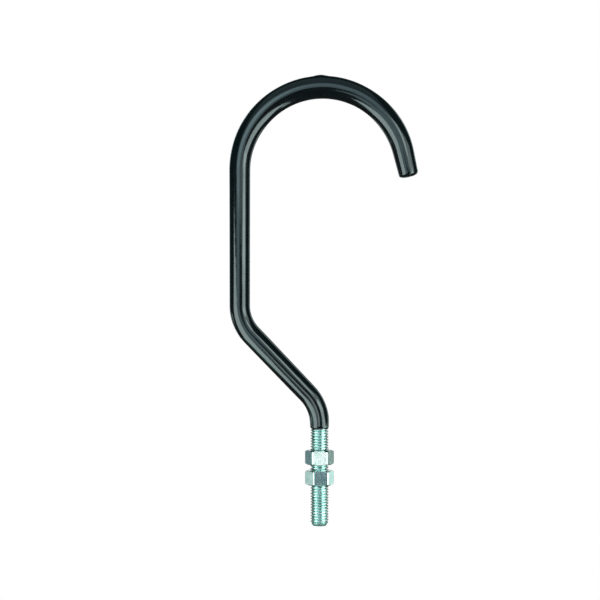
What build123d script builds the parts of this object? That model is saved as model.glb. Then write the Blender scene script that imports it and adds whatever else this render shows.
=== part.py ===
from build123d import *
import math
import os

# Bicycle hook: one steel bar bent to a cane shape, a dipped vinyl coat over its upper part and two
# hex nuts on the bare threaded stud below. Millimetres and degrees. The origin is on the stud's axis
# at the upper nut's seat. +Z runs up the stud, and +X runs across the hook towards its open side.

# Bar, threaded M10 x 1.5 on the stud. The thread's turns are too fine for this model, so the stud
# is a plain round of the thread's outer diameter.
bar_diameter = 9.85
thread_pitch = 1.5
stud_length_below_seat = 33.2
stud_end_chamfer = 1.0
bar_tip_chamfer = 0.5

# Bends of the bar, all on its centreline and in the XZ plane. A bend's height is where the straight
# runs on its two sides would meet.
lower_bend_height = 31.9
upper_bend_height = 77.3
bend_radius = 23.4
hook_radius = 45.1
hook_centre_x = 1.7
hook_centre_z = 160.0
tip_lean = 13.2
tip_straight = 13.2

# Vinyl coat: its wall at places along the bar. It hung crown down while it set, so it is thickest
# at the crown and thins towards the hem.
hem_below_bend = 2.9
hem_rounding = 0.2
wall_at_hem = 0.35
wall_at_lower_bend = 0.45
wall_at_upper_bend = 0.7
wall_at_hook_start = 0.85
wall_on_rising_shoulder = 1.2
wall_at_crown = 1.35
wall_on_falling_shoulder = 1.15
wall_at_tip_bend = 0.9
wall_at_tip_end = 0.6
wall_over_tip = 1.0
tip_cap_length = 2.0
tip_rounding = 1.9

# Drip that set on top of the crown, an oval hillock
drip_offset_x = -1.2
drip_half_length = 4.2
drip_half_width = 2.3
drip_height = 0.75
drip_waist_share = 0.45
drip_tip_share = 0.1

# Hex nuts, M10 in the small series, chamfered on both faces
nut_across_flats = 13.9
nut_height = 8.0
nut_gap = 3.05
nut_corner_radius = 0.9
nut_chamfer_angle = 30.0
nut_face_share = 0.95
nut_countersink = 0.5
lower_nut_turn = 5.5
thread_clearance = 0.05

# Values that follow from those above
bar_radius = bar_diameter / 2
shank_x = hook_centre_x - hook_radius
slant_angle = math.degrees(math.atan2(-shank_x, upper_bend_height - lower_bend_height))
bend_run = bend_radius * math.tan(math.radians(slant_angle / 2))
hem_height = lower_bend_height - bend_run - hem_below_bend
crown_height = hook_centre_z + hook_radius + bar_radius + wall_at_crown
arch_quarter = (180 - tip_lean) / 4


def bar_route(start_height, tip_length):
    """Edges of the bar's centreline, in order from a height on the stud to the end of the tip."""
    corners = [
        (0, start_height),
        (0, lower_bend_height),
        (shank_x, upper_bend_height),
        (shank_x, hook_centre_z),
    ]
    with BuildLine(Plane.XZ) as stud_to_shank:
        FilletPolyline(*corners, radius=bend_radius)
    edges = list(stud_to_shank.wire().order_edges())
    for quarter in range(4):
        start_angle = 180 - quarter * arch_quarter
        with BuildLine(Plane.XZ) as arch:
            CenterArc((hook_centre_x, hook_centre_z), hook_radius, start_angle, -arch_quarter)
        edges.append(arch.edge())
    arch_end = edges[-1] @ 1
    edges.append(Edge.make_line(arch_end, arch_end + (edges[-1] % 1) * tip_length))
    return edges


def across_bar(position, direction):
    """Plane square to the bar at a position on its centreline."""
    return Plane(origin=position, x_dir=(0, 1, 0), z_dir=direction)


def circle_around(solid, centre):
    """The solid's circular edge whose centre lies nearest to the given one, the smallest if several."""
    circles = solid.edges().filter_by(GeomType.CIRCLE)
    return circles.sort_by(lambda edge: (round((edge.arc_center - centre).length, 4), edge.radius))[0]


def make_hook_rod():
    """The bent bar, cut square at both ends and chamfered there."""
    route = bar_route(-stud_length_below_seat, tip_straight)
    bar = sweep(across_bar(route[0] @ 0, route[0] % 0) * Circle(bar_radius), Wire(route))
    bar = chamfer(circle_around(bar, route[0] @ 0), stud_end_chamfer)
    return chamfer(circle_around(bar, route[-1] @ 1), bar_tip_chamfer)


def coat_section(position, direction, wall):
    """Round section of the coat, filled, square to the bar."""
    return across_bar(position, direction) * Circle(bar_radius + wall)


def make_straight_coat(edge, wall_start, wall_end):
    """Filled length of the coat along a straight run of the bar, whose wall changes evenly."""
    length = Cone(
        bar_radius + wall_start,
        bar_radius + wall_end,
        edge.length,
        align=(Align.CENTER, Align.CENTER, Align.MIN),
    )
    return across_bar(edge @ 0, edge % 0) * length


def make_bend_coat(edge, wall):
    """Filled length of the coat round a bend of the bar, of one wall all along."""
    return sweep(coat_section(edge @ 0, edge % 0, wall), Wire([edge]))


def make_arch_coat(quarters):
    """Filled length of the coat along the arch, swelling towards the crown and thinning after it."""
    walls = [
        wall_at_hook_start,
        wall_on_rising_shoulder,
        wall_at_crown,
        wall_on_falling_shoulder,
        wall_at_tip_bend,
    ]
    sections = [coat_section(edge @ 0, edge % 0, wall) for edge, wall in zip(quarters, walls)]
    sections.append(coat_section(quarters[-1] @ 1, quarters[-1] % 1, walls[-1]))
    return sweep(sections, Wire(quarters), multisection=True)


def make_tip_cap(position, direction):
    """Rounded end of the coat, beyond the last station."""
    cap = across_bar(position, direction) * Cylinder(
        bar_radius + wall_at_tip_end,
        tip_cap_length,
        align=(Align.CENTER, Align.CENTER, Align.MIN),
    )
    return fillet(circle_around(cap, position + direction * tip_cap_length), tip_rounding)


def make_drip():
    """Oval hillock that sits on the crown, with its foot inside the coat."""
    crown_section = bar_radius + wall_at_crown
    foot_depth = crown_section - math.sqrt(crown_section**2 - drip_half_width**2)
    levels = [
        (-foot_depth, 1.0),
        (drip_height * drip_waist_share, drip_waist_share),
        (drip_height, drip_tip_share),
    ]
    rings = [
        Pos(hook_centre_x + drip_offset_x, 0, crown_height + level)
        * Ellipse(drip_half_length * share, drip_half_width * share)
        for level, share in levels
    ]
    return loft(rings)


def make_vinyl_coat(hook_rod):
    """The coat: a swelling skin along the bar, a rounded cap over its tip and the drip."""
    route = bar_route(hem_height, tip_straight + wall_over_tip - tip_cap_length)
    stud, lower_bend, slant, upper_bend, shank, *arch, tip = route
    hem_length = make_straight_coat(stud, wall_at_hem, wall_at_lower_bend)
    hem_length = fillet(circle_around(hem_length, stud @ 0), hem_rounding)
    lengths = [
        hem_length,
        make_bend_coat(lower_bend, wall_at_lower_bend),
        make_straight_coat(slant, wall_at_lower_bend, wall_at_upper_bend),
        make_bend_coat(upper_bend, wall_at_upper_bend),
        make_straight_coat(shank, wall_at_upper_bend, wall_at_hook_start),
        make_arch_coat(arch),
        make_straight_coat(tip, wall_at_tip_bend, wall_at_tip_end),
        make_tip_cap(tip @ 1, tip % 1),
        make_drip(),
    ]
    return lengths[0].fuse(*lengths[1:]) - hook_rod


def make_nut(seat_height, turn):
    """Hex nut whose lower face is at the given height, turned about the stud."""
    hexagon = RegularPolygon(nut_across_flats / 2, 6, major_radius=False)
    body = extrude(fillet(hexagon.vertices(), nut_corner_radius), nut_height)
    face_radius = nut_face_share * nut_across_flats / 2
    corner_reach = nut_across_flats / math.sqrt(3)
    drop = (corner_reach - face_radius) * math.tan(math.radians(nut_chamfer_angle))
    outline = Polyline(
        (0, 0),
        (face_radius, 0),
        (corner_reach, drop),
        (corner_reach, nut_height - drop),
        (face_radius, nut_height),
        (0, nut_height),
        close=True,
    )
    body = body & revolve(Plane.XZ * make_face(outline), Axis.Z)
    bore_radius = bar_radius + thread_clearance
    body = body - Cylinder(bore_radius, nut_height, align=(Align.CENTER, Align.CENTER, Align.MIN))
    mouths = [circle_around(body, Vector(0, 0, height)) for height in (0, nut_height)]
    body = chamfer(mouths, nut_countersink)
    return Pos(0, 0, seat_height) * Rot(0, 0, turn) * body


def print_nut_travel():
    """Print how far each nut can be run along the stud, in whole turns of the thread."""
    turns_up_to_hem = math.floor((hem_height - nut_height) / thread_pitch)
    turns_to_each_other = math.floor(nut_gap / thread_pitch)
    turns_off_stud = math.ceil((stud_length_below_seat - nut_gap) / thread_pitch)
    print("upper nut up to the hem", turns_up_to_hem * thread_pitch)
    print("lower nut up to the upper one", turns_to_each_other * thread_pitch)
    print("lower nut down off the stud", turns_off_stud * thread_pitch)


if __name__ == "__main__":
    os.makedirs("parts", exist_ok=True)
    rod = make_hook_rod()
    parts = {
        "hook_rod": rod,
        "vinyl_coat": make_vinyl_coat(rod),
        "upper_nut": make_nut(0, 0),
        "lower_nut": make_nut(-nut_gap - nut_height, lower_nut_turn),
    }
    for name, solid in parts.items():
        print(name, "valid", solid.is_valid, "solids", len(solid.solids()), "volume", round(solid.volume, 1))
        export_step(solid, f"parts/{name}.step")
    print_nut_travel()
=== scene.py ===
import math

import bmesh
import bpy
from mathutils import Matrix, Quaternion, Vector


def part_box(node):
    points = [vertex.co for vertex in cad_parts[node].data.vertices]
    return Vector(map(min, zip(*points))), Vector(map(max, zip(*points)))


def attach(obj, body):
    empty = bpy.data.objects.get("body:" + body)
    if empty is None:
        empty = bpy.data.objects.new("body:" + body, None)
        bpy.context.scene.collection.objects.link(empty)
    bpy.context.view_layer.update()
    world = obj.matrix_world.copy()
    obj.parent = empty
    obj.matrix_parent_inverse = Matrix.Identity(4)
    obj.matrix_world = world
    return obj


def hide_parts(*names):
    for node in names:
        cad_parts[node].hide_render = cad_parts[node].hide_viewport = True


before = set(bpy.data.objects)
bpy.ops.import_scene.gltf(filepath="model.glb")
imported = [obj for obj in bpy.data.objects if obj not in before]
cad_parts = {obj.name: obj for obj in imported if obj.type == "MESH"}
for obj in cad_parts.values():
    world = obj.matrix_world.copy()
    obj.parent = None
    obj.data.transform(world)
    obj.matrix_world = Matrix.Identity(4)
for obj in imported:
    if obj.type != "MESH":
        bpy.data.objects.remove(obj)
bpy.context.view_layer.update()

# The bar: one length of round steel, zinc plated, with an M10 x 1.5 thread rolled on its straight
# lower end. The rest is bent cold, twice to step aside and once to the wide arch, all in one plane.
# Only the thread shows, because the coat covers the bends.
mm = 0.001
rod_low, rod_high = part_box("hook_rod")
bar_radius = rod_high.y
stud_end = rod_low.z
lower_bend_height = 31.9 * mm
upper_bend_height = 77.3 * mm
bend_radius = 23.4 * mm
hook_radius = 45.1 * mm
hook_centre = Vector((1.7 * mm, 0, 160 * mm))
tip_lean = math.radians(13.2)
tip_straight = 13.2 * mm
tip_chamfer = 0.5 * mm
bar_sides = 96
# Points nearer than this are one point, and faces that meet more evenly than this angle shade as one.
same_point = 0.001 * mm
smooth_angle = math.radians(28)

thread_pitch = 1.5 * mm
thread_depth = 0.563 * thread_pitch
thread_steps = 72
thread_end = 21.6 * mm
point_radius = 3.55 * mm
point_length = 2.1 * mm
# The thread's flat upper end is bridged to the plain bar over this length, and the bar's far end face
# has a ring at this share of its radius.
bridge_length = 0.4 * mm
face_ring_share = 0.4

shank_x = hook_centre.x - hook_radius
slant_angle = math.atan2(-shank_x, upper_bend_height - lower_bend_height)
bend_run = bend_radius * math.tan(slant_angle / 2)
slant_length = math.hypot(shank_x, upper_bend_height - lower_bend_height) - 2 * bend_run
lower_bend_start = lower_bend_height - bend_run
upper_bend_end = upper_bend_height + bend_run
tip_way = Vector((math.sin(tip_lean), 0, -math.cos(tip_lean)))


def start_piece(name):
    """Name the primitive that was just added and open it in edit mode, all selected."""
    piece = bpy.context.object
    piece.name = piece.data.name = name
    bpy.ops.object.mode_set(mode="EDIT")
    bpy.ops.mesh.select_all(action="SELECT")
    return piece


def pick(kind, test):
    """Select only the vertices, edges or faces of the piece in edit mode that pass a test."""
    bpy.ops.mesh.select_mode(type={"verts": "VERT", "edges": "EDGE", "faces": "FACE"}[kind])
    bpy.ops.mesh.select_all(action="DESELECT")
    data = bpy.context.object.data
    mesh = bmesh.from_edit_mesh(data)
    for element in getattr(mesh, kind):
        if test(element):
            element.select_set(True)
    mesh.select_flush_mode()
    bmesh.update_edit_mesh(data)


def close_piece(piece):
    """Merge the doubles of a closed piece and turn its faces outwards."""
    bpy.ops.mesh.select_mode(type="VERT")
    bpy.ops.mesh.select_all(action="SELECT")
    bpy.ops.mesh.remove_doubles(threshold=same_point)
    bpy.ops.mesh.select_all(action="SELECT")
    bpy.ops.mesh.normals_make_consistent(inside=False)
    bpy.ops.object.mode_set(mode="OBJECT")
    bpy.ops.object.select_all(action="DESELECT")
    piece.select_set(True)
    bpy.context.view_layer.objects.active = piece
    bpy.ops.object.transform_apply(location=True, rotation=True, scale=True)
    return piece


def draw_outline(name, points):
    """A new piece that is one chain of edges through the points, open in edit mode."""
    bpy.ops.object.select_all(action="DESELECT")
    bpy.ops.mesh.primitive_plane_add(size=mm, location=(0, 0, 0))
    piece = start_piece(name)
    bpy.ops.mesh.merge(type="CENTER")
    bpy.ops.transform.translate(value=points[0])
    for here, there in zip(points, points[1:]):
        bpy.ops.mesh.extrude_region_move(TRANSFORM_OT_translate={"value": there - here})
    return piece


def turn_piece(name, outline):
    """A turned solid, from an outline of radius and height that ends on the axis or where it began."""
    piece = draw_outline(name, [Vector((radius, 0, height)) for radius, height in outline])
    bpy.ops.mesh.select_all(action="SELECT")
    bpy.ops.mesh.spin(steps=bar_sides, angle=2 * math.pi, center=(0, 0, 0), axis=(0, 0, 1))
    return close_piece(piece)


def cut(piece, tool, operation):
    """Shape a piece with another one by a Boolean, and throw that tool away."""
    bpy.ops.object.select_all(action="DESELECT")
    piece.select_set(True)
    bpy.context.view_layer.objects.active = piece
    modifier = piece.modifiers.new("cut", "BOOLEAN")
    modifier.operation = operation
    modifier.solver = "EXACT"
    modifier.object = tool
    bpy.ops.object.modifier_apply(modifier=modifier.name)
    bpy.data.objects.remove(tool)


def roll_thread(name, crest_radius, bottom, top):
    """A closed screw with flat ends. Every one has the same turns, so a nut's meet the stud's."""
    turns_below = math.ceil(-bottom / thread_pitch) + 2
    turns = turns_below + math.ceil(top / thread_pitch) + 2
    # Half of the rolled profile, as shares of pitch and depth: the round crest that rolling leaves,
    # the 60 degree flank and the rounded root. The other half mirrors it.
    crest = [(0.0, 0.0), (0.054, 0.017), (0.102, 0.066), (0.137, 0.14)]
    half = crest + [(0.393, 0.93), (0.44, 0.985), (0.5, 1.0)]
    profile = half + [(1 - along, depth) for along, depth in reversed(half[:-1])]
    points = [
        Vector((crest_radius - depth * thread_depth, 0, (along - turns_below) * thread_pitch))
        for along, depth in profile
    ]
    piece = draw_outline(name, points)
    bpy.ops.object.mode_set(mode="OBJECT")
    screw = piece.modifiers.new("screw", "SCREW")
    screw.screw_offset = thread_pitch
    screw.iterations = turns
    screw.steps = screw.render_steps = thread_steps
    screw.use_merge_vertices = True
    screw.merge_threshold = same_point
    bpy.ops.object.modifier_apply(modifier=screw.name)
    bpy.ops.object.mode_set(mode="EDIT")
    for height, is_bottom in ((bottom, True), (top, False)):
        bpy.ops.mesh.select_all(action="SELECT")
        bpy.ops.mesh.bisect(
            plane_co=(0, 0, height),
            plane_no=(0, 0, 1),
            threshold=0.1 * same_point,
            use_fill=True,
            clear_inner=is_bottom,
            clear_outer=not is_bottom,
        )
    return close_piece(piece)


def grow_along_bar(start_height, radius_at, tip_rings):
    """Grow the selected ring from a height on the stud along all bends to the tip, and close it.

    radius_at gives a ring's radius from its distance past the seat, along the bar. tip_rings are
    pairs of distance past the arch and radius. The last one is merged to a point.
    """
    slant_way = Vector((-math.sin(slant_angle), 0, math.cos(slant_angle)))
    # The middle of the arch, where the coat's drip is, has the finest rings.
    crown_turn = math.radians(20)
    shoulder_turn = (math.pi - crown_turn) / 2
    # Each run has a pivot, its turn about that or else its straight way, and its number of rings.
    runs = [
        (None, Vector((0, 0, lower_bend_start - start_height)), 10),
        (Vector((-bend_radius, 0, lower_bend_start)), -slant_angle, 18),
        (None, slant_way * slant_length, 12),
        (Vector((shank_x + bend_radius, 0, upper_bend_end)), slant_angle, 18),
        (None, Vector((0, 0, hook_centre.z - upper_bend_end)), 20),
        (hook_centre, shoulder_turn, 40),
        (hook_centre, crown_turn, 50),
        (hook_centre, shoulder_turn - tip_lean, 36),
    ]
    centre = Vector((0, 0, start_height))
    distance = start_height
    radius = radius_at(distance)
    for pivot, way, rings in runs:
        for _ in range(rings):
            if pivot is None:
                bpy.ops.mesh.extrude_region_move(TRANSFORM_OT_translate={"value": way / rings})
                centre = centre + way / rings
                distance += way.length / rings
            else:
                turn = way / rings
                # A spin turns left-handed about its axis.
                bpy.ops.mesh.spin(steps=1, angle=turn, center=pivot, axis=(0, -1, 0))
                centre = pivot + Matrix.Rotation(turn, 3, "Y") @ (centre - pivot)
                distance += abs(turn) * (centre - pivot).length
            scale = radius_at(distance) / radius
            radius = radius_at(distance)
            bpy.ops.transform.resize(value=(scale, scale, scale), center_override=centre)
    reached = 0
    for past_arch, next_radius in tip_rings:
        step = tip_way * (past_arch - reached)
        scale = next_radius / radius
        bpy.ops.mesh.extrude_region_move(TRANSFORM_OT_translate={"value": step})
        centre = centre + step
        bpy.ops.transform.resize(value=(scale, scale, scale), center_override=centre)
        reached, radius = past_arch, next_radius
    bpy.ops.mesh.merge(type="CENTER")


bar = roll_thread("threaded_bar", bar_radius, stud_end - thread_pitch, thread_end)
# The stud's point is cut by a turned blank, a little wider than the thread.
blank_radius = 1.1 * bar_radius
point_slope = point_length / (bar_radius - point_radius)
outline = [
    (0, stud_end),
    (point_radius, stud_end),
    (blank_radius, stud_end + (blank_radius - point_radius) * point_slope),
    (blank_radius, thread_end + thread_pitch),
    (0, thread_end + thread_pitch),
]
cut(bar, turn_piece("stud_blank", outline), "INTERSECT")
bpy.ops.object.mode_set(mode="EDIT")
pick("faces", lambda face: min(vertex.co.z for vertex in face.verts) > thread_end - same_point)
bpy.ops.mesh.delete(type="ONLY_FACE")
bar_start = thread_end + bridge_length
bpy.ops.mesh.primitive_circle_add(vertices=bar_sides, radius=bar_radius, location=(0, 0, bar_start))
pick("edges", lambda edge: len(edge.link_faces) < 2)
bpy.ops.mesh.bridge_edge_loops()
pick("verts", lambda vertex: vertex.co.z > bar_start - same_point)
tip_rings = [
    (tip_straight / 2, bar_radius),
    (tip_straight - tip_chamfer, bar_radius),
    (tip_straight, bar_radius - tip_chamfer),
    (tip_straight, face_ring_share * bar_radius),
]
grow_along_bar(bar_start, lambda distance: bar_radius, tip_rings)
close_piece(bar)
bpy.ops.object.shade_smooth_by_angle(angle=smooth_angle)


def linear(hex_colour):
    """Linear colour, with alpha, of an sRGB hex."""
    shares = [int(hex_colour[at : at + 2], 16) / 255 for at in (1, 3, 5)]
    return [s / 12.92 if s <= 0.04045 else ((s + 0.055) / 1.055) ** 2.4 for s in shares] + [1]


def add_node(tree, kind, inputs, stops=(), **settings):
    """Add a shader node.

    Each input gets a value, or a socket to be linked from. A colour ramp's stops are pairs of place
    and hex colour.
    """
    node = tree.nodes.new(kind)
    for key, value in settings.items():
        setattr(node, key, value)
    for key, value in inputs.items():
        if isinstance(value, bpy.types.NodeSocket):
            tree.links.new(value, node.inputs[key])
        else:
            node.inputs[key].default_value = value
    for index, (at, colour) in enumerate(stops):
        element = node.color_ramp.elements[index] if index < 2 else node.color_ramp.elements.new(at)
        element.position = at
        element.color = linear(colour)
    return node


def start_material(name):
    """A new material, its tree, its shader and its object coordinates."""
    material = bpy.data.materials.new(name)
    material.use_nodes = True
    tree = material.node_tree
    place = add_node(tree, "ShaderNodeTexCoord", {}).outputs["Object"]
    return material, tree, tree.nodes["Principled BSDF"], place


def make_zinc(name, spot_size, spot_height, smoothest, roughest):
    """Zinc plate with a thin blue-green passivation, cloudy and spotted from the bath.

    The spots are drawn far coarser than the plating's crystals, which are too fine to show. It returns
    the material with its tree, shader, coordinates, tint and roughness.
    """
    material, tree, shader, place = start_material(name)
    inputs = {"Vector": place, "Scale": 1 / zinc_cloud_size}
    clouds = add_node(tree, "ShaderNodeTexNoise", inputs).outputs["Fac"]
    inputs = {"Vector": place, "Scale": 1 / spot_size}
    spots = add_node(tree, "ShaderNodeTexNoise", inputs).outputs["Fac"]
    tint = add_node(tree, "ShaderNodeValToRGB", {"Fac": clouds}, zinc_tints).outputs["Color"]
    inputs = {"Value": spots, "From Min": noise_low, "From Max": noise_high}
    inputs.update({"To Min": smoothest, "To Max": roughest})
    roughness = add_node(tree, "ShaderNodeMapRange", inputs).outputs["Result"]
    inputs = {"Height": spots, "Strength": 1.0, "Distance": spot_height}
    bump = add_node(tree, "ShaderNodeBump", inputs).outputs["Normal"]
    tree.links.new(tint, shader.inputs["Base Color"])
    tree.links.new(roughness, shader.inputs["Roughness"])
    tree.links.new(bump, shader.inputs["Normal"])
    shader.inputs["Metallic"].default_value = 1
    return material, tree, shader, place, tint, roughness


# Zinc plate on the rolled thread, with painted shade: the colour stays pale on the crests and turns a
# darker teal down in the roots, standing in for the shade in the grooves. The sawn and turned point is
# left rougher than the rolled crests.
zinc_cloud_size = 3.0 * mm
zinc_tints = [(0.35, "#DCEBE7"), (0.65, "#FAFDFC")]
# A noise keeps mostly between these two values.
noise_low = 0.3
noise_high = 0.7
# Painted shade: the thread's colour darkens from the crests into the roots, in place of the shade down in
# its grooves.
root_shade_tints = [(0.0, "#98C6BC"), (0.35, "#D0E7E2"), (0.7, "#FFFFFF")]
crest_band = 0.15 * thread_depth
point_roughness = 0.62
point_rough_from = stud_end + point_length
point_rough_full = stud_end + 0.7 * point_length
zinc_thread, tree, shader, place, tint, rolled_roughness = make_zinc(
    "zinc_plate_thread", 0.9 * mm, 0.004 * mm, 0.22, 0.32
)
inputs = {0: place, 1: (1, 1, 0)}
around = add_node(tree, "ShaderNodeVectorMath", inputs, operation="MULTIPLY").outputs[0]
reach = add_node(tree, "ShaderNodeVectorMath", {0: around}, operation="LENGTH").outputs["Value"]
inputs = {"Value": reach, "From Min": bar_radius - thread_depth, "From Max": bar_radius - crest_band}
height_share = add_node(tree, "ShaderNodeMapRange", inputs).outputs["Result"]
painted_root_shade = add_node(tree, "ShaderNodeValToRGB", {"Fac": height_share}, root_shade_tints).outputs["Color"]
inputs = {0: 1.0, 6: tint, 7: painted_root_shade}
mixed = add_node(tree, "ShaderNodeMix", inputs, data_type="RGBA", blend_type="MULTIPLY").outputs[2]
tree.links.new(mixed, shader.inputs["Base Color"])
along = add_node(tree, "ShaderNodeSeparateXYZ", {0: place}).outputs["Z"]
inputs = {"Value": along, "From Min": point_rough_from, "From Max": point_rough_full}
point_share = add_node(tree, "ShaderNodeMapRange", inputs).outputs["Result"]
inputs = {0: point_share, 2: rolled_roughness, 3: point_roughness}
roughness = add_node(tree, "ShaderNodeMix", inputs).outputs[0]
tree.links.new(roughness, shader.inputs["Roughness"])
bar.data.materials.append(zinc_thread)
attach(bar, "hook")
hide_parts("hook_rod")

# The coat: black vinyl that the hot bar was dipped in, then cured to a smooth glossy skin. It set
# with the crown hanging down, so it is thickest there, sags outwards and ends in the last drip. Its
# thin hem closes in a groove of the thread.
coat_low, coat_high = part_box("vinyl_coat")
hem_height = coat_low.z
# The inner skin clears the bar by this. Both skins start this deep in the thread's groove.
fit_gap = 0.01 * mm
hem_depth = 0.5 * mm
# Rings of the two skins at the hem, in mm: height over its edge, and wall over the thread's crests
hem_rings = [
    (0.03, -0.4),
    (0.12, -0.27),
    (0.28, -0.11),
    (0.45, 0.0),
    (0.7, 0.1),
    (1.0, 0.17),
    (1.4, 0.22),
]
hem_inner_rings = [(0.3, -0.4), (0.8, 0.01)]
# Wall of the coat, in mm, at distances in mm past the seat, along the bar
coat_walls = [
    (hem_height / mm + 1.4, 0.22),
    (24, 0.31),
    (30, 0.43),
    (44, 0.60),
    (62, 0.71),
    (80, 0.80),
    (94, 0.70),
    (115, 0.70),
    (150, 0.75),
    (172, 0.82),
    (184, 0.89),
    (197, 1.11),
    (212, 1.22),
    (240, 1.31),
    (256, 1.29),
    (274, 1.16),
    (294, 1.10),
    (307, 0.90),
]
# The dome over the tip, an oval flatter than a sphere, and how much wider the coat is at the arch
dome_radius = 5.4 * mm
dome_length = 2.4 * mm
dome_power = 2 / 2.6
dome_steps = 13
dome_step_turn = math.radians(7)
tip_widening = 0.42 * mm
over_tip = 1.0 * mm
# How far the crown sags and how wide, and the drip's place, its point and the width it fades over
crown_sag = 0.2 * mm
crown_half_width = 6 * mm
sag_reach = 32 * mm
drip_x = 0.5 * mm
drip_point = 0.35 * mm
drip_reach = 5.2 * mm
box_clearance = 0.005 * mm
coat_smooth_angle = math.radians(40)


def coat_radius(distance):
    """Outer radius of the coat, on a smooth curve through the walls above."""
    place = distance / mm
    index = max(i for i, (at, _) in enumerate(coat_walls[:-1]) if at <= place or i == 0)
    here, wall_here = coat_walls[index]
    there, wall_there = coat_walls[index + 1]
    before, wall_before = coat_walls[max(index - 1, 0)]
    after, wall_after = coat_walls[min(index + 2, len(coat_walls) - 1)]
    run = there - here
    slope_here = (wall_there - wall_before) / (there - before) * run
    slope_there = (wall_after - wall_here) / (after - here) * run
    t = (place - here) / run
    rise = wall_there - wall_here
    bend = t * slope_here * (1 - t) ** 2 - t**2 * (1 - t) * slope_there
    return bar_radius + (wall_here + rise * (3 * t**2 - 2 * t**3) + bend) * mm


def grow_coat_skin(start_radius, first_rings, radius_at, tip_rings):
    """Grow one skin of the coat in the open piece, from a circle at the hem."""
    bpy.ops.mesh.select_all(action="DESELECT")
    edge_centre = (0, 0, hem_height)
    bpy.ops.mesh.primitive_circle_add(vertices=bar_sides, radius=start_radius, location=edge_centre)
    height, radius = hem_height, start_radius
    for rise, wall in first_rings:
        next_height, next_radius = hem_height + rise * mm, bar_radius + wall * mm
        step = Vector((0, 0, next_height - height))
        bpy.ops.mesh.extrude_region_move(TRANSFORM_OT_translate={"value": step})
        scale = next_radius / radius
        bpy.ops.transform.resize(value=(scale, scale, 1), center_override=(0, 0, next_height))
        height, radius = next_height, next_radius
    grow_along_bar(height, radius_at, tip_rings)


bpy.ops.object.select_all(action="DESELECT")
bpy.ops.mesh.primitive_plane_add(size=mm)
coat = start_piece("dipped_coat")
bpy.ops.mesh.delete(type="VERT")
dome_start = tip_straight + over_tip - dome_length
tip_rings = [
    (dome_start * share, dome_radius + (1 - share) * tip_widening) for share in (0.25, 0.5, 0.75)
]
for step in range(dome_steps):
    turn = step * dome_step_turn
    along = dome_start + dome_length * math.sin(turn) ** dome_power
    tip_rings.append((along, dome_radius * math.cos(turn) ** dome_power))
grow_coat_skin(bar_radius - hem_depth, hem_rings, coat_radius, tip_rings)

# The sag and the drip, pulled out of the crown's fine rings
crown_top = max(vertex.co.z for vertex in bmesh.from_edit_mesh(coat.data).verts)


def on_crown(vertex):
    """Whether a vertex is on the middle of the arch."""
    return abs(vertex.co.x - hook_centre.x) < crown_half_width and vertex.co.z > hook_centre.z


pick("verts", on_crown)
bpy.ops.transform.translate(
    value=(0, 0, crown_sag),
    use_proportional_edit=True,
    proportional_edit_falloff="SMOOTH",
    proportional_size=sag_reach,
)
drip_foot = Vector((drip_x, 0, crown_top + crown_sag))
pick("verts", lambda vertex: (vertex.co - drip_foot).length < drip_point)
bpy.ops.transform.translate(
    value=(0, 0, coat_high.z - box_clearance - crown_top - crown_sag),
    use_proportional_edit=True,
    proportional_edit_falloff="SMOOTH",
    proportional_size=drip_reach,
)

# The inner skin lies on the bar and meets the outer one at the hem, in the thread's groove.
inner_rings = [
    (tip_straight / 2, bar_radius + fit_gap),
    (tip_straight - tip_chamfer, bar_radius + fit_gap),
    (tip_straight + fit_gap, bar_radius - tip_chamfer + fit_gap),
    (tip_straight + fit_gap, face_ring_share * bar_radius),
]
inner_radius = bar_radius + fit_gap
grow_coat_skin(bar_radius - hem_depth, hem_inner_rings, lambda distance: inner_radius, inner_rings)
close_piece(coat)
bpy.ops.object.shade_smooth_by_angle(angle=coat_smooth_angle)

# Vinyl: near black with a trace of blue, glossy, with long ripples from the flow as it set and a
# faint orange peel. Its gloss changes a little from place to place.
ripple_length = 11 * mm
ripple_height = 0.12 * mm
peel_size = 1.3 * mm
peel_height = 0.003 * mm
gloss_patch = 5 * mm
vinyl_tints = [(0.35, "#04090B"), (0.65, "#080E10")]
vinyl, tree, shader, place = start_material("black_vinyl_coat")
inputs = {"Vector": place, "Scale": 1 / ripple_length, "Detail": 1.0}
flow = add_node(tree, "ShaderNodeTexNoise", inputs).outputs["Fac"]
inputs = {"Vector": place, "Scale": 1 / peel_size, "Detail": 1.0}
peel = add_node(tree, "ShaderNodeTexNoise", inputs).outputs["Fac"]
inputs = {"Height": flow, "Strength": 1.0, "Distance": ripple_height}
rippled = add_node(tree, "ShaderNodeBump", inputs).outputs["Normal"]
inputs = {"Height": peel, "Strength": 1.0, "Distance": peel_height, "Normal": rippled}
peeled = add_node(tree, "ShaderNodeBump", inputs).outputs["Normal"]
tint = add_node(tree, "ShaderNodeValToRGB", {"Fac": flow}, vinyl_tints).outputs["Color"]
inputs = {"Vector": place, "Scale": 1 / gloss_patch}
patches = add_node(tree, "ShaderNodeTexNoise", inputs).outputs["Fac"]
inputs = {"Value": patches, "From Min": noise_low, "From Max": noise_high, "To Min": 0.11, "To Max": 0.17}
roughness = add_node(tree, "ShaderNodeMapRange", inputs).outputs["Result"]
tree.links.new(tint, shader.inputs["Base Color"])
tree.links.new(roughness, shader.inputs["Roughness"])
tree.links.new(peeled, shader.inputs["Normal"])
tree.links.new(peeled, shader.inputs["Coat Normal"])
shader.inputs["IOR"].default_value = 1.5
shader.inputs["Coat Weight"].default_value = 1
shader.inputs["Coat IOR"].default_value = 1.5
shader.inputs["Coat Roughness"].default_value = 0.09
coat.data.materials.append(vinyl)
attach(coat, "hook")
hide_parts("vinyl_coat")


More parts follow.
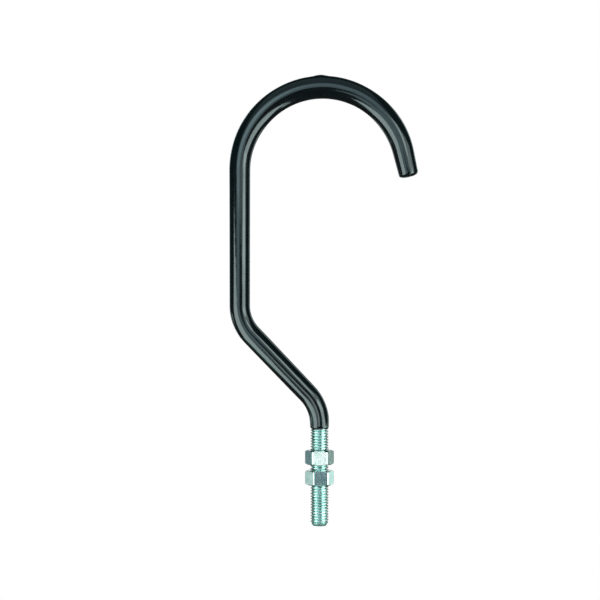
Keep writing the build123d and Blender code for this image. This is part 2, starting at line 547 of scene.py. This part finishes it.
# The two nuts: cold-formed steel hexagons, 14 mm across flats, tapped M10 x 1.5 and zinc plated in
# a barrel. Their corners are chamfered at 30 degrees on both faces, and the bores are countersunk.
across_flats = 2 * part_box("upper_nut")[1].y
corner_reach = across_flats / math.sqrt(3)
corner_radius = 0.9 * mm
chamfer_angle = math.radians(30)
face_radius = 6.6 * mm
bore_radius = 4.19 * mm
mouth_radius = 5.25 * mm
edge_softness = 0.12 * mm
thread_clearance = 0.055 * mm
lower_turn = math.radians(5.5)
# A hexagon's corners stand this far round from the middles of its flats.
corner_turn = math.radians(30)
# The hexagon starts this much longer than the nut. Edges sharper than this angle are softened.
hexagon_spare = 1 * mm
sharp_angle = math.radians(25)


def make_nut(name, node, turn):
    """A tapped hex nut in its node's place, turned about the stud."""
    low, high = (corner.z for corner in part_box(node))
    height = high - low
    bpy.ops.object.select_all(action="DESELECT")
    bpy.ops.mesh.primitive_cylinder_add(
        vertices=6,
        radius=corner_reach,
        depth=height + hexagon_spare,
        location=(0, 0, (low + high) / 2),
        rotation=(0, 0, corner_turn + turn),
    )
    nut = start_piece(name)
    pick("edges", lambda edge: abs(edge.verts[0].co.z - edge.verts[1].co.z) > height / 2)
    bpy.ops.mesh.bevel(offset=corner_radius * math.tan(corner_turn), segments=5, affect="EDGES")
    close_piece(nut)
    drop = (corner_reach - face_radius) * math.tan(chamfer_angle)
    half = [
        (bore_radius, mouth_radius - bore_radius),
        (mouth_radius, 0),
        (face_radius, 0),
        (corner_reach, drop),
    ]
    outline = [(radius, low + rise) for radius, rise in half]
    outline += [(radius, high - rise) for radius, rise in reversed(half)]
    cut(nut, turn_piece("nut_blank", outline + outline[:1]), "INTERSECT")
    soften = nut.modifiers.new("soften", "BEVEL")
    soften.width = edge_softness
    soften.segments = 2
    soften.limit_method = "ANGLE"
    soften.angle_limit = sharp_angle
    bpy.ops.object.modifier_apply(modifier=soften.name)
    tap = roll_thread("tap", bar_radius + thread_clearance, low - thread_pitch, high + thread_pitch)
    cut(nut, tap, "DIFFERENCE")
    bpy.ops.object.mode_set(mode="EDIT")
    close_piece(nut)
    bpy.ops.object.shade_smooth_by_angle(angle=smooth_angle)
    evened = nut.modifiers.new("evened", "WEIGHTED_NORMAL")
    evened.keep_sharp = True
    bpy.ops.object.modifier_apply(modifier=evened.name)
    return nut


upper_nut = make_nut("upper_hex_nut", "upper_nut", 0)
lower_nut = make_nut("lower_hex_nut", "lower_nut", lower_turn)
# Zinc plate on the nuts: bumpier and less rough than on the thread, as barrel plating leaves it, and
# paler, as it has none of the thread's painted root shade
zinc_nut = make_zinc("zinc_plate_nut", 0.6 * mm, 0.015 * mm, 0.18, 0.28)[0]
upper_nut.data.materials.append(zinc_nut)
lower_nut.data.materials.append(zinc_nut)
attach(upper_nut, "upper_nut")
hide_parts("upper_nut")
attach(lower_nut, "lower_nut")
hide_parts("lower_nut")


# The floor: pale paper well below the hook, which takes its soft shadow and fades to plain white
# around it. Polished surfaces show only a small share of it, as the photograph's vinyl is dark below.
floor_height = -0.5
floor_half = 20
floor_gloss_share = 0.03
floor_glow_share = 0.6
fade_start = 0.3
fade_end = 0.9
bpy.ops.mesh.primitive_plane_add(size=2 * floor_half, location=(0, 0, floor_height))
floor = bpy.context.object
floor.name = "floor"
paper = bpy.data.materials.new("pale_paper")
paper.use_nodes = True
tree = paper.node_tree
tree.nodes.clear()
rays = add_node(tree, "ShaderNodeLightPath", {}).outputs
place = add_node(tree, "ShaderNodeTexCoord", {}).outputs["Object"]
away = add_node(tree, "ShaderNodeVectorMath", {0: place}, operation="LENGTH").outputs["Value"]
inputs = {"Value": away, "From Min": fade_start, "From Max": fade_end}
fade = add_node(tree, "ShaderNodeMapRange", inputs, interpolation_type="SMOOTHSTEP").outputs["Result"]
matt = add_node(tree, "ShaderNodeBsdfDiffuse", {"Color": linear("#F4F4F4")}).outputs[0]
white = add_node(tree, "ShaderNodeEmission", {"Color": linear("#FFFFFF"), "Strength": 1.0}).outputs[0]
inputs = {"Color": linear("#FFFFFF"), "Strength": floor_gloss_share}
share = add_node(tree, "ShaderNodeEmission", inputs).outputs[0]
near = add_node(tree, "ShaderNodeMixShader", {0: floor_glow_share, 1: matt, 2: white}).outputs[0]
seen = add_node(tree, "ShaderNodeMixShader", {0: fade, 1: near, 2: white}).outputs[0]
seen = add_node(tree, "ShaderNodeMixShader", {0: rays["Is Camera Ray"], 1: matt, 2: seen}).outputs[0]
seen = add_node(tree, "ShaderNodeMixShader", {0: rays["Is Glossy Ray"], 1: seen, 2: share}).outputs[0]
add_node(tree, "ShaderNodeOutputMaterial", {"Surface": seen})
floor.data.materials.append(paper)


# The room: white behind the object, for the camera and for what mirrors it, and dim elsewhere in
# mirrors, as in the photograph's vinyl. Matt surfaces get an even fill.
room_fill = 0.35
room_gloss = 0.05
# The white behind is full and gone at these cosines of the angle from straight behind.
white_full = 0.96
white_gone = 0.9
world = bpy.data.worlds.new("studio")
bpy.context.scene.world = world
world.use_nodes = True
tree = world.node_tree
tree.nodes.clear()
rays = add_node(tree, "ShaderNodeLightPath", {}).outputs
way = add_node(tree, "ShaderNodeTexCoord", {}).outputs["Generated"]
behind = add_node(tree, "ShaderNodeVectorMath", {0: way, 1: (0, 1, 0)}, operation="DOT_PRODUCT")
inputs = {"Value": behind.outputs["Value"], "From Min": white_gone, "From Max": white_full}
inputs["To Min"] = room_gloss
mirrored = add_node(tree, "ShaderNodeMapRange", inputs).outputs["Result"]
inputs = {0: rays["Is Glossy Ray"], 2: room_fill, 3: mirrored}
level = add_node(tree, "ShaderNodeMix", inputs).outputs[0]
inputs = {0: rays["Is Camera Ray"], 1: rays["Is Transmission Ray"]}
direct = add_node(tree, "ShaderNodeMath", inputs, operation="MAXIMUM").outputs[0]
level = add_node(tree, "ShaderNodeMix", {0: direct, 2: level, 3: 1.0}).outputs[0]
inputs = {0: mirrored, 6: linear("#8CC4C8"), 7: linear("#FFFFFF")}
tint = add_node(tree, "ShaderNodeMix", inputs, data_type="RGBA").outputs[2]
inputs = {0: rays["Is Glossy Ray"], 6: linear("#FFFFFF"), 7: tint}
tint = add_node(tree, "ShaderNodeMix", inputs, data_type="RGBA").outputs[2]
background = add_node(tree, "ShaderNodeBackground", {"Color": tint, "Strength": level})
add_node(tree, "ShaderNodeOutputWorld", {"Surface": background.outputs[0]})

# The lamps: a large softbox low on each side in front, dimmer cards round the camera and overhead,
# two strips behind that edge the hook's back, small cards with a grid for the nuts' flats, one or two
# to a flat, and a small card close to the stud on each side for the thread.
# Each has a name, aim, azimuth from the camera's side towards +X, elevation over the horizon, roll
# about its axis, distance, width, height, brightness as a mirror would show it, colour and the cone
# of its grid. Angles are in degrees, and distances and sizes in metres.
hook_middle = Vector((0, 0, 0.09))
nut_middle = Vector((0, 0, 0))
stud_middle = Vector((0, 0, -0.022))
lamps = [
    ("softbox_right", hook_middle, 55.5, -17.9, 30, 0.6, 0.36, 0.74, 3.4, "#DCF4F3", 180),
    ("softbox_left", hook_middle, -54.9, -23.5, -15, 0.6, 0.43, 0.62, 3.3, "#DCF4F3", 180),
    ("card_upper_right", hook_middle, 46.3, 15.2, -3, 0.6, 0.57, 0.27, 1.4, "#DCF4F3", 180),
    ("card_over_camera", hook_middle, -6, 24.7, -5, 0.6, 0.52, 0.38, 1.0, "#C6EAF2", 180),
    ("card_beside_camera", hook_middle, -20.8, 4.6, 2, 0.6, 0.33, 0.65, 1.1, "#C6EAF2", 180),
    ("panel_overhead", hook_middle, -10.9, 56.4, 2, 0.6, 0.86, 0.98, 0.24, "#BFE4EC", 180),
    ("card_slant", hook_middle, 33, 22, 0, 0.6, 0.14, 0.16, 2.6, "#DCF4F3", 180),
    ("strip_behind_right", hook_middle, 138, 12, 0, 0.6, 0.16, 0.60, 0.9, "#DCF4F3", 180),
    ("strip_behind_left", hook_middle, -146, 8, 0, 0.6, 0.14, 0.60, 0.9, "#DCF4F3", 180),
    ("nut_card_front", nut_middle, -2.5, -6.5, 0, 0.6, 0.14, 0.10, 2.7, "#F2FFFA", 24),
    ("nut_card_front_right", nut_middle, 14, -6.5, 0, 0.6, 0.12, 0.12, 0.35, "#86E4FA", 24),
    ("nut_card_left", nut_middle, -106, -11, 0, 0.5, 0.14, 0.20, 1.4, "#DCFAF6", 24),
    ("nut_card_left_back", nut_middle, -126, -8, 0, 0.5, 0.16, 0.20, 0.40, "#9CE8F5", 24),
    ("nut_card_right", nut_middle, 131.5, -8, 0, 0.5, 0.225, 0.20, 1.3, "#D0F8EE", 24),
    ("nut_card_behind", nut_middle, 180, -12, 0, 0.5, 0.30, 0.28, 1.0, "#E2FAF2", 24),
    ("stud_card_right", stud_middle, 88, 0, 0, 0.12, 0.084, 0.056, 1.9, "#DCFAF4", 180),
    ("stud_card_left", stud_middle, -84, 0, 0, 0.12, 0.070, 0.056, 0.5, "#8FDCC4", 180),
]
for name, aim, azimuth, elevation, roll, distance, width, height, brightness, colour, cone in lamps:
    turn, lift = math.radians(azimuth), math.radians(elevation)
    level_out = Vector((math.sin(turn), -math.cos(turn), 0))
    out = level_out * math.cos(lift) + Vector((0, 0, math.sin(lift)))
    bpy.ops.object.light_add(type="AREA", location=aim + out * distance)
    lamp = bpy.context.object
    lamp.name = name
    facing = out.to_track_quat("Z", "Y") @ Quaternion((0, 0, 1), math.radians(roll))
    lamp.rotation_euler = facing.to_euler()
    lamp.data.shape = "RECTANGLE"
    lamp.data.size = width
    lamp.data.size_y = height
    half_cone = math.radians(cone) / 2
    # A grid narrows the cone without loss of power, so it makes the lamp brighter along its axis.
    gain = 1 if cone == 180 else math.tan(half_cone) / (math.tan(half_cone) - half_cone)
    lamp.data.energy = brightness * math.pi * width * height / gain
    lamp.data.color = linear(colour)[:3]
    lamp.data.spread = math.radians(cone)
    lamp.visible_camera = False

# The camera: level and square to the hook's plane, as far off and as long as the photograph's
bpy.ops.object.camera_add(location=(-0.0106, -0.803, 0.0895), rotation=(math.pi / 2, 0, 0))
camera = bpy.context.object
camera.data.lens = 88.5
camera.data.sensor_width = 36
bpy.context.scene.camera = camera
bpy.context.scene.view_settings.view_transform = "Standard"
